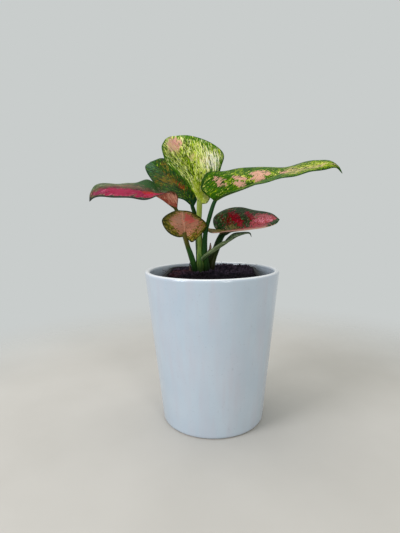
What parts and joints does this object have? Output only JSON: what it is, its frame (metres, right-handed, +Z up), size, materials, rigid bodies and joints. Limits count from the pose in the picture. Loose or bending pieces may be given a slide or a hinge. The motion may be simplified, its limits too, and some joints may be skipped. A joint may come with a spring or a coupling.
{
  "type": "potted chinese evergreen",
  "caption": "Young Chinese evergreen with pink, cream and green variegated leaves on fleshy stalks, in a square nursery pot inside a round tapered glazed planter.",
  "frame": {"origin": "centre of the planter's flat underside, on the surface it stands on", "axes": "+Z up along the planter's axis; -Y towards the viewer, so that the longest leaf points to +X"},
  "size_m": [0.2236, 0.1285, 0.2703],
  "materials": {
    "planter_glaze": "glossy pale blue-grey glaze over stoneware, bare foot",
    "nursery_plastic": "thin moulded black polypropylene",
    "potting_mix": "damp coir and peat potting mix",
    "cane": "green-brown cane with ring scars, pale fleshy roots",
    "leaf_cream": "glossy leaf, cream with green flecks and a pink patch",
    "leaf_green_pink": "glossy leaf, green with cream flecks and pink patches",
    "leaf_dark": "glossy leaf, dark green with dull red patches",
    "leaf_magenta": "glossy leaf, magenta centre and green margin",
    "leaf_coral": "leaf underside, coral pink with olive mottled edge",
    "leaf_crimson": "glossy leaf, dark green with crimson and pink patches",
    "leaf_grey_green": "young folded leaf, grey-green underside with dark edges",
    "stalk": "smooth fleshy green stalk",
    "dry_sheath": "dry papery brown sheath"
  },
  "bodies": {
    "root": {"planter": "planter_glaze", "nursery_pot": "nursery_plastic", "potting_mix": "potting_mix", "cane_and_roots": "cane", "leaf_top": "leaf_cream", "leaf_long_right": "leaf_green_pink", "leaf_back": "leaf_dark", "leaf_left": "leaf_magenta", "leaf_front": "leaf_coral", "leaf_low_right": "leaf_crimson", "leaf_young": "leaf_grey_green", "stalk_top": "stalk", "stalk_long_right": "stalk", "stalk_back": "stalk", "stalk_left": "stalk", "stalk_front": "stalk", "stalk_low_right": "stalk", "stalk_young": "stalk", "dry_sheath_right": "dry_sheath", "dry_sheath_left": "dry_sheath"}
  },
  "joints": []
}
